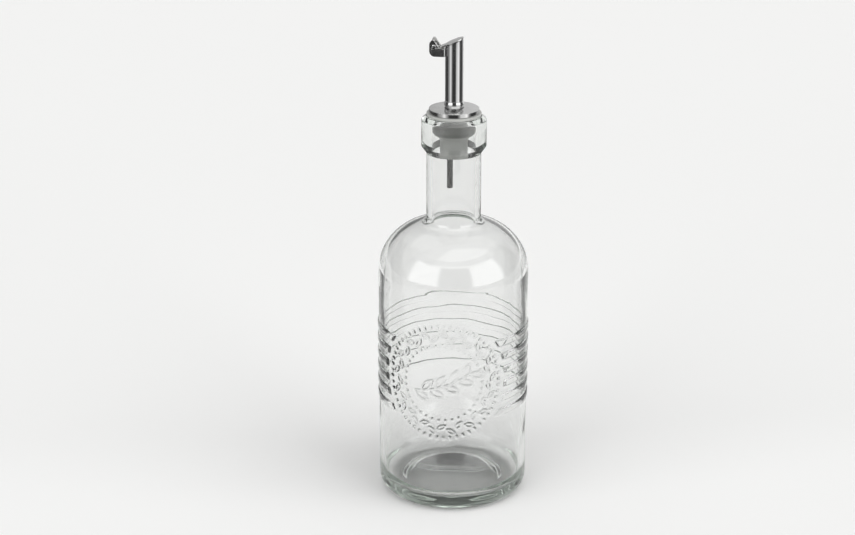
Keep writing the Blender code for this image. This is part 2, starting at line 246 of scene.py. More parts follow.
low_edges = [(CARD_DISTANCE, height) for height in LOW_CARDS_HEIGHT]
card("low_cards", LOW_CARDS, low_edges, -180.0, 180.0)
back_edges = [(CARD_DISTANCE, height) for height in BACK_CARD_HEIGHT]
card("back_card", BACK_CARD, back_edges, BACK_CARD_FROM_DEG, 360.0 - BACK_CARD_FROM_DEG)
ring_edges = [(radius, DARK_RING_HEIGHT) for radius in DARK_RING_RADII]
card("dark_ring", BLACK_CARD, ring_edges, -180.0, 180.0)
pourer_edges = [(POURER_CARD_DISTANCE, height) for height in POURER_CARD_HEIGHT]
card("pourer_card", POURER_CARD, pourer_edges, -POURER_CARD_TO_DEG, POURER_CARD_TO_DEG)
black_edges = [(BLACK_CARD_DISTANCE, height) for height in BLACK_CARD_HEIGHT]
for name, side in (("right_black_card", 1.0), ("left_black_card", -1.0)):
    from_deg, to_deg = side * BLACK_CARD_FROM_DEG, side * BLACK_CARD_TO_DEG
    card(name, BLACK_CARD, black_edges, from_deg, to_deg, through_glass=True)

# The table. Pale matt laminate with a faint cloudiness and no gloss of its own.
MM = 0.001
TABLE_SIZE = 9.0
TABLE_DROP = 0.2 * MM


def new_material(name):
    """An empty Principled material, its tree and its shader."""
    material = bpy.data.materials.new(name)
    material.use_nodes = True
    return material, material.node_tree, material.node_tree.nodes["Principled BSDF"]


laminate, tree, shader = new_material("matt_pale_laminate")
cloud = add(tree, "ShaderNodeTexNoise", {"Scale": 6.0, "Detail": 2.0})
shade = blend(tree, cloud.outputs[0], linear("#F4F4F3"), linear("#F7F7F6"))
tree.links.new(shade, shader.inputs["Base Color"])
shader.inputs["Roughness"].default_value = 0.9
shader.inputs["Specular IOR Level"].default_value = 0.0
table_bm = bmesh.new()
bmesh.ops.create_grid(table_bm, x_segments=1, y_segments=1, size=TABLE_SIZE / 2.0)
for vert in table_bm.verts:
    vert.co.z = -TABLE_DROP
table_mesh = bpy.data.meshes.new("table")
table_bm.to_mesh(table_mesh)
table_mesh.materials.append(laminate)
new_object("table", table_mesh)

# The glass bottle. One blown and pressed piece of clear soda-lime glass: a foot ring round a
# raised bottom, a heavy heel, a straight body, a round shoulder, a narrow neck and a thick
# collar at the mouth. The wall is thinner than the foot and a little uneven inside.
POURING_BODY = "bottle_and_pourer"
BODY_RADIUS = 38.0 * MM
WALL = 2.6 * MM
HEEL_RADIUS = 7.3 * MM
FOOT_INNER_RADIUS = 26.0 * MM
FOOT_INNER_EDGE = (25.2 * MM, 0.28 * MM)
PUNT_RADIUS = 24.0 * MM
PUNT_EDGE_HEIGHT = 1.2 * MM
PUNT_HEIGHT = 8.0 * MM
PUNT_STEPS = 12
FLOOR_HEIGHT = 6.5 * MM
FLOOR_CORNER_RADIUS = 7.0 * MM
FLOOR_DOME_RADIUS = 24.5 * MM
FLOOR_DOME_HEIGHT = 8.0 * MM
FLOOR_DOME_POWER = 1.3
FLOOR_DOME_STEPS = 14
SHOULDER_START = 118.3 * MM
SHOULDER_RADIUS = 26.0 * MM
NECK_RADIUS = 13.6 * MM
NECK_FILLET = 3.0 * MM
NECK_TOP = 181.0 * MM
COLLAR_RADIUS = 16.15 * MM
COLLAR_BOTTOM = 184.5 * MM
COLLAR_TOP = 198.0 * MM
LIP_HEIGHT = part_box("bottle")[1].z
LIP_OUTER_RADIUS = 13.9 * MM
LIP_INNER_ROUND = 0.8 * MM
COLLAR_ROUND = 1.1 * MM
LIP_ROUND = 0.8 * MM
PANEL_CENTRE_HEIGHT = 71.8 * MM
PANEL_HALF_SIZE = 31.6 * MM
FINE_STEP = 0.33 * MM
FINE_ROWS = round(2.0 * PANEL_HALF_SIZE / FINE_STEP)
RIB_END_REACH = 36.5 * MM
RIB_END_COLUMNS = 9
BACK_COLUMNS = 60
INSIDE_COLUMNS = 112
STRAIGHT_LEAD = 0.03 * MM


def arc(centre, radius, start_deg, end_deg, steps):
    """Points along an arc in (radius, height), both ends included."""
    points = []
    for step in range(steps + 1):
        angle = math.radians(start_deg + (end_deg - start_deg) * step / steps)
        points.append((centre[0] + radius * math.cos(angle), centre[1] + radius * math.sin(angle)))
    return points


def straight(start, end, steps):
    """Evenly spaced points after start, up to and with end."""
    (r, z), (end_r, end_z) = start, end
    points = []
    for step in range(1, steps + 1):
        part = step / steps
        points.append((r + (end_r - r) * part, z + (end_z - z) * part))
    return points


def soft_line(corners, steps=6):
    """A line through corners (radius, height, rounding), each corner rounded by an arc. A
    point a little way along each straight keeps its shading flat."""
    points = []
    for index, (r, z, rounding) in enumerate(corners):
        if rounding == 0.0:
            points.append((r, z))
            continue
        before = corners[index - 1]
        after = corners[(index + 1) % len(corners)]
        to_before = math.atan2(before[1] - z, before[0] - r)
        to_after = math.atan2(after[1] - z, after[0] - r)
        turn = (to_after - to_before + math.pi) % (2.0 * math.pi) - math.pi
        middle = to_before + turn / 2.0
        reach = rounding / abs(math.sin(turn / 2.0))
        centre = (r + reach * math.cos(middle), z + reach * math.sin(middle))
        swing = math.copysign(math.pi - abs(turn), turn)
        first = middle + math.pi + swing / 2.0
        along = rounding / abs(math.tan(turn / 2.0)) + STRAIGHT_LEAD
        points.append((r + along * math.cos(to_before), z + along * math.sin(to_before)))
        for step in range(steps + 1):
            angle = first - swing * step / steps
            across, up = rounding * math.cos(angle), rounding * math.sin(angle)
            points.append((centre[0] + across, centre[1] + up))
        points.append((r + along * math.cos(to_after), z + along * math.sin(to_after)))
    return points


def add_rings(bm, outline, azimuths, closed=False, axis_x=0.0):
    """Turns an outline of (radius, height) about a vertical axis. An azimuth is measured from
    the front, -Y. A closed outline goes round a ring's section."""
    rings = []
    for r, z in outline:
        if r < 0.001 * MM:
            rings.append([bm.verts.new((axis_x, 0.0, z))])
            continue
        rings.append([bm.verts.new((axis_x + r * math.sin(a), -r * math.cos(a), z)) for a in azimuths])
    pairs = list(zip(rings, rings[1:]))
    if closed:
        pairs.append((rings[-1], rings[0]))
    count = len(azimuths)
    for lower, upper in pairs:
        for side in range(count):
            following = (side + 1) % count
            corners = [lower[side % len(lower)], lower[following % len(lower)],
                       upper[following % len(upper)], upper[side % len(upper)]]
            bm.faces.new(list(dict.fromkeys(corners)))


def to_mesh(name, bm):
    """A smooth mesh with its faces pointing out."""
    bmesh.ops.recalc_face_normals(bm, faces=bm.faces)
    mesh = bpy.data.meshes.new(name)
    bm.to_mesh(mesh)
    bm.free()
    mesh.shade_smooth()
    return mesh


def turned_ring(name, corners, sides, steps=6, axis_x=0.0):
    """A ring whose section is a rounded outline."""
    bm = bmesh.new()
    azimuths = [2.0 * math.pi * side / sides for side in range(sides)]
    add_rings(bm, soft_line(corners, steps), azimuths, closed=True, axis_x=axis_x)
    return to_mesh(name, bm)


def show(name, mesh, material, body, slot, *replaced):
    """Links a finished mesh as a piece that rides on a body and stands for CAD nodes."""
    if not mesh.materials:
        mesh.materials.append(material)
    piece = new_object(name, mesh)
    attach(piece, body)
    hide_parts(*replaced)


fillet_centre_r = NECK_RADIUS + NECK_FILLET
shoulder_centre = (BODY_RADIUS - SHOULDER_RADIUS, SHOULDER_START)
fillet_reach = SHOULDER_RADIUS + NECK_FILLET
fillet_across = fillet_centre_r - shoulder_centre[0]
fillet_rise = math.sqrt(fillet_reach ** 2 - fillet_across ** 2)
fillet_centre = (fillet_centre_r, SHOULDER_START + fillet_rise)
meeting_deg = math.degrees(math.acos(fillet_across / fillet_reach))
panel_bottom = PANEL_CENTRE_HEIGHT - PANEL_HALF_SIZE
panel_top = PANEL_CENTRE_HEIGHT + PANEL_HALF_SIZE

outside = [(0.0, PUNT_HEIGHT)]
for step in range(1, PUNT_STEPS + 1):
    part = step / PUNT_STEPS
    outside.append((PUNT_RADIUS * part, PUNT_HEIGHT - (PUNT_HEIGHT - PUNT_EDGE_HEIGHT) * part ** 2))
outside += [FOOT_INNER_EDGE, (FOOT_INNER_RADIUS, 0.0)]
outside += straight((FOOT_INNER_RADIUS, 0.0), (BODY_RADIUS - HEEL_RADIUS, 0.0), 3)
outside += arc((BODY_RADIUS - HEEL_RADIUS, HEEL_RADIUS), HEEL_RADIUS, -90.0, 0.0, 14)[1:]
outside += straight(outside[-1], (BODY_RADIUS, panel_bottom), 8)
outside += straight(outside[-1], (BODY_RADIUS, panel_top), FINE_ROWS)
outside += straight(outside[-1], (BODY_RADIUS, SHOULDER_START), 4)
outside += arc(shoulder_centre, SHOULDER_RADIUS, 0.0, meeting_deg, 20)[1:]
outside += arc(fillet_centre, NECK_FILLET, 180.0 + meeting_deg, 180.0, 7)[1:]
outside += straight(outside[-1], (NECK_RADIUS, NECK_TOP - COLLAR_ROUND), 5)
outside += soft_line([
    (NECK_RADIUS, fillet_centre[1], 0.0),
    (NECK_RADIUS, NECK_TOP, COLLAR_ROUND),
    (COLLAR_RADIUS, COLLAR_BOTTOM, COLLAR_ROUND),
    (COLLAR_RADIUS, COLLAR_TOP, COLLAR_ROUND),
    (LIP_OUTER_RADIUS, LIP_HEIGHT, LIP_ROUND),
    (NECK_RADIUS - WALL + LIP_INNER_ROUND, LIP_HEIGHT, 0.0),
], 5)[1:]

bore = NECK_RADIUS - WALL
floor_corner = (BODY_RADIUS - WALL - FLOOR_CORNER_RADIUS, FLOOR_HEIGHT + FLOOR_CORNER_RADIUS)
lip_centre = (bore + LIP_INNER_ROUND, LIP_HEIGHT - LIP_INNER_ROUND)
inside = arc(lip_centre, LIP_INNER_ROUND, 90.0, 180.0, 4)[1:]
inside += straight(inside[-1], (bore, fillet_centre[1]), 14)
inside += arc(fillet_centre, NECK_FILLET + WALL, 180.0, 180.0 + meeting_deg, 8)[1:]
inside += arc(shoulder_centre, SHOULDER_RADIUS - WALL, meeting_deg, 0.0, 18)[1:]
inside += straight(inside[-1], (BODY_RADIUS - WALL, floor_corner[1]), 36)
inside += arc(floor_corner, FLOOR_CORNER_RADIUS, 0.0, -90.0, 12)[1:]
for step in range(FLOOR_DOME_STEPS, -1, -1):
    part = step / FLOOR_DOME_STEPS
    dome = FLOOR_DOME_HEIGHT * (1.0 - part ** 2) ** FLOOR_DOME_POWER
    inside.append((FLOOR_DOME_RADIUS * part, FLOOR_HEIGHT + dome))

# The grid is fine over the front panel, where the relief is, and coarser round the back
panel_edge = PANEL_HALF_SIZE / BODY_RADIUS
rib_edge = RIB_END_REACH / BODY_RADIUS
azimuths = [panel_edge * (2.0 * column / FINE_ROWS - 1.0) for column in range(FINE_ROWS + 1)]
end_step = (rib_edge - panel_edge) / RIB_END_COLUMNS
azimuths += [panel_edge + end_step * column for column in range(1, RIB_END_COLUMNS + 1)]
back_step = 2.0 * (math.pi - rib_edge) / BACK_COLUMNS
azimuths += [rib_edge + back_step * column for column in range(1, BACK_COLUMNS + 1)]
azimuths += [-rib_edge + end_step * column for column in range(1, RIB_END_COLUMNS)]
glass_bm = bmesh.new()
add_rings(glass_bm, outside, azimuths)
inside_step = 2.0 * math.pi / INSIDE_COLUMNS
add_rings(glass_bm, inside, [inside_step * side for side in range(INSIDE_COLUMNS)])
rim_edges = [edge for edge in glass_bm.edges if len(edge.link_faces) == 1]
bmesh.ops.bridge_loops(glass_bm, edges=rim_edges)
glass_mesh = to_mesh("glass_body", glass_bm)

# Soda-lime glass, fire polished: colourless where thin and faintly green where thick, which
# shows in the heel. Hardly any roughness, and a slow waviness left by the mould.
glass, tree, shader = new_material("clear_soda_lime_glass")
shader.inputs["Base Color"].default_value = linear("#FBFBFB")
shader.inputs["IOR"].default_value = 1.52
shader.inputs["Transmission Weight"].default_value = 1.0
place = add(tree, "ShaderNodeTexCoord").outputs["Object"]
haze = add(tree, "ShaderNodeTexNoise", {"Vector": place, "Scale": 60.0, "Detail": 3.0})
polish = add(tree, "ShaderNodeMapRange", {0: haze.outputs[0], 1: 0.4, 2: 0.8, 3: 0.0, 4: 0.02})
tree.links.new(polish.outputs[0], shader.inputs["Roughness"])
wave = add(tree, "ShaderNodeTexNoise", {"Vector": place, "Scale": 45.0, "Detail": 1.0})
ripple = add(tree, "ShaderNodeBump", {"Strength": 0.10, "Distance": 0.3 * MM, "Height": wave.outputs[0]})
tree.links.new(ripple.outputs[0], shader.inputs["Normal"])
tint = add(tree, "ShaderNodeVolumeAbsorption", {"Color": linear("#D6E2D8"), "Density": 16.0})
tree.links.new(tint.outputs[0], tree.nodes["Material Output"].inputs["Volume"])

# What the mould leaves on the glass. Six round ribs run round the sides and the back and stop
# at a round plain panel on the front. On the panel stand two rings of beads, a ring of small
# leaves between them and an olive sprig in the middle, all half a millimetre high or less.
RELIEF = {
    "Body Radius": BODY_RADIUS,
    "Panel Height": PANEL_CENTRE_HEIGHT,
    "Panel Radius": 33.3 * MM,
    "Rib End Length": 1.6 * MM,
    "Rib Count": 6.0,
    "Rib Pitch": 7.5 * MM,
    "Rib Height": 0.55 * MM,
    "Rib Foot": 2.1 * MM,
    "Rib Crest": 1.35 * MM,
    "Rib Crown": 0.2,
    "Outer Ring Radius": 30.0 * MM,
    "Inner Ring Radius": 20.4 * MM,
    "Bead Length": 1.0 * MM,
    "Outer Bead Radius": 0.85 * MM,
    "Inner Bead Radius": 0.95 * MM,
    "Bead Height": 0.49 * MM,
    "Leaf Ring Radius": 25.2 * MM,
    "Ring Leaf Length": 4.6 * MM,
    "Ring Leaf Width": 2.0 * MM,
    "Sprig Leaf Length": 8.4 * MM,
    "Sprig Leaf Width": 3.2 * MM,
    "Line Radius": 0.56 * MM,
    "Line Height": 0.49 * MM,
    "Wall Waviness": 0.55 * MM,
}
RELIEF_COUNTS = {"Outer Beads": 57, "Inner Beads": 38, "Ring Leaves": 34, "Sprig Leaves": 9}
RING_LEAF_TILT_DEG = 32.0
SPRIG_LEAF_TILT_DEG = 38.0
INNER_BEAD_LENGTH = 0.2 * MM
# A swelling starts and is full at these shares of its reach
SWELLING_FOOT = 1.1
SWELLING_CREST = 0.25
# How far a point may lie off a wall and still count as on it
OUTER_WALL_NEAR = 0.05 * MM
INNER_WALL_NEAR = 0.2 * MM
SPRIG_STEM = ((-14.5, -5.0), (-3.0, -4.5), (14.0, 5.0))

relief_tree = bpy.data.node_groups.new("pressed_relief", "GeometryNodeTree")
interface = relief_tree.interface
interface.new_socket("Geometry", in_out="INPUT", socket_type="NodeSocketGeometry")
for name in RELIEF:
    interface.new_socket(name, in_out="INPUT", socket_type="NodeSocketFloat")
for name in RELIEF_COUNTS:
    interface.new_socket(name, in_out="INPUT", socket_type="NodeSocketInt")
interface.new_socket("Glass", in_out="INPUT", socket_type="NodeSocketMaterial")
interface.new_socket("Geometry", in_out="OUTPUT", socket_type="NodeSocketGeometry")
tree = relief_tree
given = tree.nodes.new("NodeGroupInput").outputs

# Each point of the outer wall is laid out flat: its distance round the wall from the panel's
# middle, and its height above it
point = add(tree, "GeometryNodeInputPosition").outputs[0]
point_x, point_y, point_z = add(tree, "ShaderNodeSeparateXYZ", {0: point}).outputs
forward = maths(tree, "MULTIPLY", point_y, -1.0)
azimuth = maths(tree, "ARCTAN2", point_x, forward)
across = maths(tree, "MULTIPLY", azimuth, given["Body Radius"])
above = maths(tree, "SUBTRACT", point_z, given["Panel Height"])
flat = add(tree, "ShaderNodeCombineXYZ", {0: across, 1: above}).outputs[0]
from_middle = add(tree, "ShaderNodeVectorMath", {0: flat}, operation="LENGTH").outputs[1]
level = add(tree, "ShaderNodeCombineXYZ", {0: point_x, 1: point_y}).outputs[0]
radius = add(tree, "ShaderNodeVectorMath", {0: level}, operation="LENGTH").outputs[1]
outward = add(tree, "ShaderNodeVectorMath", {0: level}, operation="NORMALIZE").outputs[0]

# Ribs: steep sides and a slightly crowned crest
last_rib = maths(tree, "SUBTRACT", given["Rib Count"], 1.0)
middle_rib = maths(tree, "MULTIPLY", last_rib, 0.5)
rib_place = maths(tree, "ADD", maths(tree, "DIVIDE", above, given["Rib Pitch"]), middle_rib)
rib_from_first = maths(tree, "MAXIMUM", maths(tree, "ROUND", rib_place), 0.0)
rib_nearest = maths(tree, "MINIMUM", rib_from_first, last_rib)
rib_offset = maths(tree, "ABSOLUTE", maths(tree, "SUBTRACT", rib_place, rib_nearest))
rib_distance = maths(tree, "MULTIPLY", rib_offset, given["Rib Pitch"])
rib_side = add(tree, "ShaderNodeMapRange", {0: rib_distance, 1: given["Rib Foot"], 2: given["Rib Crest"]},
               interpolation_type="SMOOTHSTEP").outputs[0]
crown_share = maths(tree, "DIVIDE", rib_distance, given["Rib Foot"])
crown_squared = maths(tree, "MULTIPLY", crown_share, crown_share)
crown_drop = maths(tree, "MULTIPLY", crown_squared, given["Rib Crown"])
rib_shape = maths(tree, "MULTIPLY", rib_side, maths(tree, "SUBTRACT", 1.0, crown_drop))
panel_end = maths(tree, "ADD", given["Panel Radius"], given["Rib End Length"])
off_panel = add(tree, "ShaderNodeMapRange", {0: from_middle, 1: given["Panel Radius"], 2: panel_end},
                interpolation_type="SMOOTHSTEP").outputs[0]
rib_share = maths(tree, "MULTIPLY", rib_shape, off_panel)
rib_rise = maths(tree, "MULTIPLY", rib_share, given["Rib Height"])


def facing_of(kind):
    """The angle about Z of what a Position or Tangent node gives."""
    parts = add(tree, "ShaderNodeSeparateXYZ", {0: add(tree, kind).outputs[0]}).outputs
    return maths(tree, "ARCTAN2", parts[1], parts[0])


def ring_of_beads(count, ring_radius, length):
    """Short radial strokes on a ring, as edges in the flat layout."""
    ring = add(tree, "GeometryNodeMeshCircle", {"Vertices": count, "Radius": ring_radius})
    start = add(tree, "ShaderNodeCombineXYZ", {0: maths(tree, "MULTIPLY", length, -0.5)}).outputs[0]
    end = add(tree, "ShaderNodeCombineXYZ", {0: length}).outputs[0]
    stroke = add(tree, "GeometryNodeMeshLine", {"Count": 2, "Start Location": start, "Offset": end})
    facing = facing_of("GeometryNodeInputPosition")
    turn = add(tree, "ShaderNodeCombineXYZ", {2: facing}).outputs[0]
    placed = add(tree, "GeometryNodeInstanceOnPoints", {
        "Points": ring.outputs[0], "Instance": stroke.outputs[0], "Rotation": turn,
    })
    return add(tree, "GeometryNodeRealizeInstances", {0: placed.outputs[0]}).outputs[0]


def leaf_outline(length, width):
    """A pointed leaf's outline as a loop of edges, from its base at the origin along +X."""
    loop = add(tree, "GeometryNodeMeshCircle", {"Vertices": 20, "Radius": 1.0})
    here = add(tree, "GeometryNodeInputPosition").outputs[0]
    here_x, here_y, _ = add(tree, "ShaderNodeSeparateXYZ", {0: here}).outputs
    pointed = maths(tree, "MULTIPLY", here_y, maths(tree, "ABSOLUTE", here_y))
    from_base = maths(tree, "ADD", here_x, 1.0)
    leaf_x = maths(tree, "MULTIPLY", from_base, maths(tree, "MULTIPLY", length, 0.5))
    leaf_y = maths(tree, "MULTIPLY", pointed, maths(tree, "MULTIPLY", width, 0.5))
    shaped = add(tree, "ShaderNodeCombineXYZ", {0: leaf_x, 1: leaf_y}).outputs[0]
    leaf = add(tree, "GeometryNodeSetPosition", {"Geometry": loop.outputs[0], "Position": shaped})
    return leaf.outputs[0]


def turn_by_index(facing, tilt_deg):
    """A rotation about Z to a facing angle, tilted to either side in turn."""
    index = add(tree, "GeometryNodeInputIndex").outputs[0]
    side = maths(tree, "MULTIPLY_ADD", maths(tree, "MODULO", index, 2.0), 2.0, -1.0)
    turned = maths(tree, "MULTIPLY_ADD", side, math.radians(tilt_deg), facing)
    return add(tree, "ShaderNodeCombineXYZ", {2: turned}).outputs[0]


# Ring of small leaves
leaf_ring = add(tree, "GeometryNodeMeshCircle", {
    "Vertices": given["Ring Leaves"], "Radius": given["Leaf Ring Radius"],
})
ring_facing = facing_of("GeometryNodeInputPosition")
ring_leaves = add(tree, "GeometryNodeInstanceOnPoints", {
    "Points": leaf_ring.outputs[0],
    "Instance": leaf_outline(given["Ring Leaf Length"], given["Ring Leaf Width"]),
    "Rotation": turn_by_index(maths(tree, "ADD", ring_facing, math.pi / 2.0), RING_LEAF_TILT_DEG),
})

# Olive sprig: a bent stem with leaves to either side in turn
stem_ends = [(x * MM, y * MM, 0.0) for x, y in SPRIG_STEM]
stem = add(tree, "GeometryNodeCurveQuadraticBezier", {
    "Resolution": 24, "Start": stem_ends[0], "Middle": stem_ends[1], "End": stem_ends[2],
})
leaf_points = add(tree, "GeometryNodeResampleCurve", {
    "Curve": stem.outputs[0], "Count": given["Sprig Leaves"],
})
stem_facing = facing_of("GeometryNodeInputTangent")
sprig_leaves = add(tree, "GeometryNodeInstanceOnPoints", {
    "Points": leaf_points.outputs[0],
    "Instance": leaf_outline(given["Sprig Leaf Length"], given["Sprig Leaf Width"]),
    "Rotation": turn_by_index(stem_facing, SPRIG_LEAF_TILT_DEG),
})
stem_line = add(tree, "GeometryNodeCurveToMesh", {"Curve": stem.outputs[0]})
drawing = add(tree, "GeometryNodeJoinGeometry")
for part in (ring_leaves, sprig_leaves, stem_line):
    tree.links.new(part.outputs[0], drawing.inputs[0])
lines = add(tree, "GeometryNodeRealizeInstances", {0: drawing.outputs[0]}).outputs[0]


def rise_near(target, reach, height):
    """A soft swelling of a height over the edges of target, as wide as twice reach."""
    near = add(tree, "GeometryNodeProximity", {"Geometry": target, "Sample Position": flat},
               target_element="EDGES")
    return add(tree, "ShaderNodeMapRange", {
        0: near.outputs["Distance"],
        1: maths(tree, "MULTIPLY", reach, SWELLING_FOOT),
        2: maths(tree, "MULTIPLY", reach, SWELLING_CREST),
        3: 0.0, 4: height,
    }, interpolation_type="SMOOTHSTEP").outputs[0]


outer_beads = ring_of_beads(given["Outer Beads"], given["Outer Ring Radius"], given["Bead Length"])
outer_rise = rise_near(outer_beads, given["Outer Bead Radius"], given["Bead Height"])
inner_beads = ring_of_beads(given["Inner Beads"], given["Inner Ring Radius"], INNER_BEAD_LENGTH)
inner_rise = rise_near(inner_beads, given["Inner Bead Radius"], given["Bead Height"])
line_rise = rise_near(lines, given["Line Radius"], given["Line Height"])
on_front = maths(tree, "LESS_THAN", from_middle, given["Panel Radius"])
drawn_rise = maths(tree, "MAXIMUM", maths(tree, "MAXIMUM", outer_rise, inner_rise), line_rise)
relief_rise = maths(tree, "MAXIMUM", rib_rise, maths(tree, "MULTIPLY", drawn_rise, on_front))
off_wall = maths(tree, "ABSOLUTE", maths(tree, "SUBTRACT", radius, given["Body Radius"]))
outer_wall = maths(tree, "LESS_THAN", off_wall, OUTER_WALL_NEAR)
relief_offset = add(tree, "ShaderNodeVectorMath", {0: outward, 3: relief_rise}, operation="SCALE")
pressed = add(tree, "GeometryNodeSetPosition", {
    "Geometry": given["Geometry"],
    "Selection": outer_wall,
    "Offset": relief_offset.outputs[0],
})

# The inner wall is a little uneven
wave = add(tree, "ShaderNodeTexNoise", {"Vector": point, "Scale": 55.0, "Detail": 1.5})
wave_share = maths(tree, "SUBTRACT", wave.outputs[0], 0.5)
wave_size = maths(tree, "MULTIPLY", wave_share, given["Wall Waviness"])
inner_radius = maths(tree, "SUBTRACT", given["Body Radius"], WALL)
from_inner = maths(tree, "ABSOLUTE", maths(tree, "SUBTRACT", radius, inner_radius))
inner_wall = maths(tree, "LESS_THAN", from_inner, INNER_WALL_NEAR)
wave_offset = add(tree, "ShaderNodeVectorMath", {0: outward, 3: wave_size}, operation="SCALE")
uneven = add(tree, "GeometryNodeSetPosition", {
    "Geometry": pressed.outputs[0],
    "Selection": inner_wall,
    "Offset": wave_offset.outputs[0],
})
whole = add(tree, "GeometryNodeRealizeInstances", {0: uneven.outputs[0]})
finished = add(tree, "GeometryNodeSetMaterial", {
    "Geometry": whole.outputs[0], "Material": given["Glass"],
})
add(tree, "NodeGroupOutput", {0: finished.outputs[0]})


def finished_mesh(name, mesh, node_tree, values):
    """The mesh that a Geometry Nodes tree makes, with its inputs set by their identifiers."""
    carrier = new_object(name + "_carrier", mesh)
    modifier = carrier.modifiers.new("nodes", "NODES")
    modifier.node_group = node_tree
    for item in node_tree.interface.items_tree:
        if item.in_out == "INPUT" and item.name in values:
            modifier[item.identifier] = values[item.name]
    depsgraph = bpy.context.evaluated_depsgraph_get()
    made = bpy.data.meshes.new_from_object(carrier.evaluated_get(depsgraph))
    made.name = name
    bpy.data.objects.remove(carrier, do_unlink=True)
    made.shade_smooth()
    return made


relief_values = {**RELIEF, **RELIEF_COUNTS, "Glass": glass}
pressed_mesh = finished_mesh("glass_bottle", glass_mesh, relief_tree, relief_values)
show("glass_bottle", pressed_mesh, glass, POURING_BODY, "glass", "bottle")

# The stopper. Moulded in a soft translucent plastic: a sleeve with a bowl-shaped plug that
# presses against the neck's bore, a flange that lies on the glass lip, and a head under the
# steel cap.
CAP_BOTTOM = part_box("cap")[0].z
CAP_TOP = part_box("cap")[1].z
SPOUT_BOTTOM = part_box("spout")[0].z
GAP = 0.3 * MM
CHANNEL_RADIUS = 3.75 * MM
SLEEVE_RADIUS = 6.9 * MM
HEAD_RADIUS = 11.4 * MM
FLANGE_RADIUS = 13.7 * MM
PLUG_RADIUS = 10.75 * MM
GROOVE_DEPTH = 0.2 * MM
SPOUT_SEAT_RADIUS = 4.75 * MM
stopper_bottom, stopper_top = (corner.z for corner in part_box("stopper"))
stopper_mesh = turned_ring("stopper", [
    (CHANNEL_RADIUS, stopper_bottom, 0.3 * MM),
    (SLEEVE_RADIUS, stopper_bottom, 0.5 * MM),
    (SLEEVE_RADIUS, 188.5 * MM, 0.1 * MM),
    (7.3 * MM, 188.8 * MM, 0.1 * MM),
    (7.7 * MM, 189.6 * MM, 0.5 * MM),
    (9.6 * MM, 191.1 * MM, 1.2 * MM),
    (PLUG_RADIUS, 193.0 * MM, 1.5 * MM),
    (PLUG_RADIUS, 195.9 * MM, 0.1 * MM),
    (PLUG_RADIUS - GROOVE_DEPTH, 196.2 * MM, 0.1 * MM),
    (PLUG_RADIUS - GROOVE_DEPTH, 196.9 * MM, 0.1 * MM),
    (PLUG_RADIUS, 197.2 * MM, 0.1 * MM),
    (PLUG_RADIUS, LIP_HEIGHT + 0.1 * MM, 0.1 * MM),
    (FLANGE_RADIUS, LIP_HEIGHT + 0.1 * MM, 0.4 * MM),
    (FLANGE_RADIUS, CAP_BOTTOM - 0.1 * MM, 0.4 * MM),
    (HEAD_RADIUS, CAP_BOTTOM - 0.1 * MM, 0.1 * MM),
    (HEAD_RADIUS, stopper_top, 0.2 * MM),
    (SPOUT_SEAT_RADIUS, stopper_top, 0.2 * MM),
    (SPOUT_SEAT_RADIUS, SPOUT_BOTTOM - GAP, 0.1 * MM),
    (CHANNEL_RADIUS, SPOUT_BOTTOM - GAP, 0.2 * MM),
], 96, steps=4)

# Low-density polyethylene, injection moulded: grey and waxy, and light goes a little way in.
# The solid plug, which presses against the glass bore, is painted darker: painted shade.
PLUG_SHADE_HEIGHTS = (190.6 * MM, 191.8 * MM)
polyethylene, tree, shader = new_material("translucent_polyethylene_with_painted_shade")
place = add(tree, "ShaderNodeTexCoord").outputs["Object"]
flow = add(tree, "ShaderNodeTexNoise", {"Vector": place, "Scale": 120.0, "Detail": 3.0})
height = add(tree, "ShaderNodeSeparateXYZ", {0: place}).outputs["Z"]
over_sleeve = add(tree, "ShaderNodeMapRange", {
    0: height, 1: PLUG_SHADE_HEIGHTS[0], 2: PLUG_SHADE_HEIGHTS[1],
}).outputs[0]
under_flange = maths(tree, "LESS_THAN", height, LIP_HEIGHT)
# The plug's band between these heights and under the flange gets the darker grey: painted shade
painted_plug_shade = maths(tree, "MULTIPLY", over_sleeve, under_flange)
thin_tone = blend(tree, flow.outputs[0], linear("#A6A7A4"), linear("#B5B6B3"))
tone = blend(tree, painted_plug_shade, thin_tone, linear("#787976"))
tree.links.new(tone, shader.inputs["Base Color"])
wax = add(tree, "ShaderNodeMapRange", {0: flow.outputs[0], 3: 0.34, 4: 0.48})
tree.links.new(wax.outputs[0], shader.inputs["Roughness"])
shader.inputs["IOR"].default_value = 1.51
shader.inputs["Subsurface Weight"].default_value = 0.35
shader.inputs["Subsurface Radius"].default_value = (1.0, 1.0, 0.95)
shader.inputs["Subsurface Scale"].default_value = 2.0 * MM
skin = add(tree, "ShaderNodeBump", {
    "Strength": 0.2, "Distance": 0.05 * MM, "Height": flow.outputs[0],
})
tree.links.new(skin.outputs[0], shader.inputs["Normal"])
show("soft_stopper", stopper_mesh, polyethylene, POURING_BODY, "stopper_plastic", "stopper")

